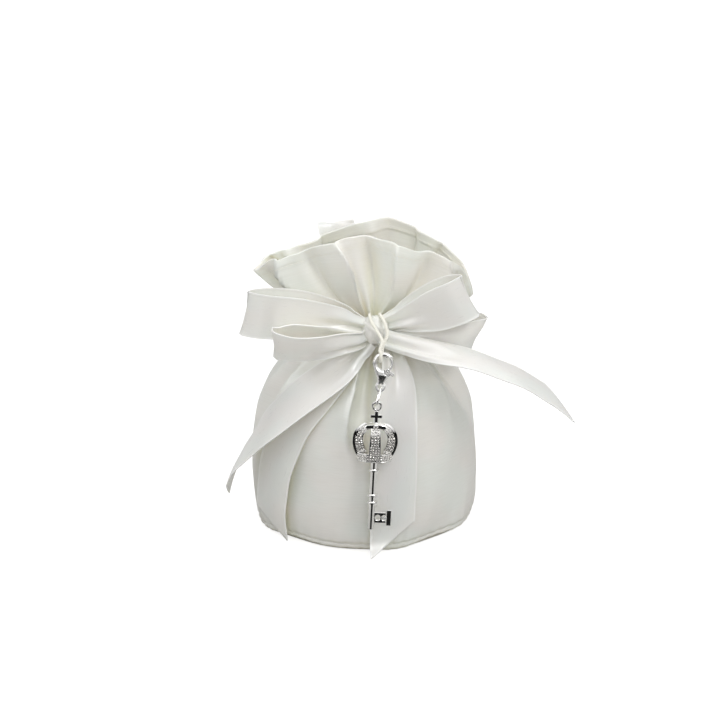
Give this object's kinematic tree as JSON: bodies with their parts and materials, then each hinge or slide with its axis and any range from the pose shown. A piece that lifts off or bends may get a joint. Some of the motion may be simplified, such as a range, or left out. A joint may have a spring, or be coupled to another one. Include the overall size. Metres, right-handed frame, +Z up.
{
  "type": "satin favour pouch with a key charm",
  "caption": "Hollow satin pouch on a flat round base, gathered at the neck under a flared frill, tied with ribbon bows and tails, with a silver crown key charm on a lobster clasp.",
  "frame": {"origin": "centre of the flat base, on the surface the pouch stands on", "axes": "+Z up through the neck, -Y to the front with the bow and the charm, +X to the right as seen from the front"},
  "size_m": [0.1251, 0.0841, 0.1081],
  "materials": {
    "satin": "ivory satin weave with a soft sheen",
    "ribbon": "ivory satin ribbon with woven edges",
    "cord": "twisted ivory cord",
    "silver": "polished silver plate, clear stones on the crown"
  },
  "bodies": {
    "pouch_and_charm": {"pouch": "satin", "neck_tie": "ribbon", "bow_knot": "ribbon", "bow_loop_left_upper": "ribbon", "bow_loop_left_lower": "ribbon", "bow_loop_right_upper": "ribbon", "bow_loop_right_lower": "ribbon", "bow_loop_back": "ribbon", "tail_left_outer": "ribbon", "tail_left_inner": "ribbon", "tail_centre": "ribbon", "tail_right": "ribbon", "charm_cord": "cord", "clasp_body": "silver", "chain_link": "silver", "key": "silver"},
    "lever": {"clasp_lever": "silver"}
  },
  "joints": [
    {"name": "clasp_lever_hinge", "type": "hinge", "parent": "pouch_and_charm", "child": "lever", "pos_m": [0.0082, -0.03503, 0.06802], "axis": [0, -0.9272, 0.3746], "range_deg": [0, 22], "stiffness_Nm_per_rad": 0.002, "springref_deg": -11.46}
  ]
}
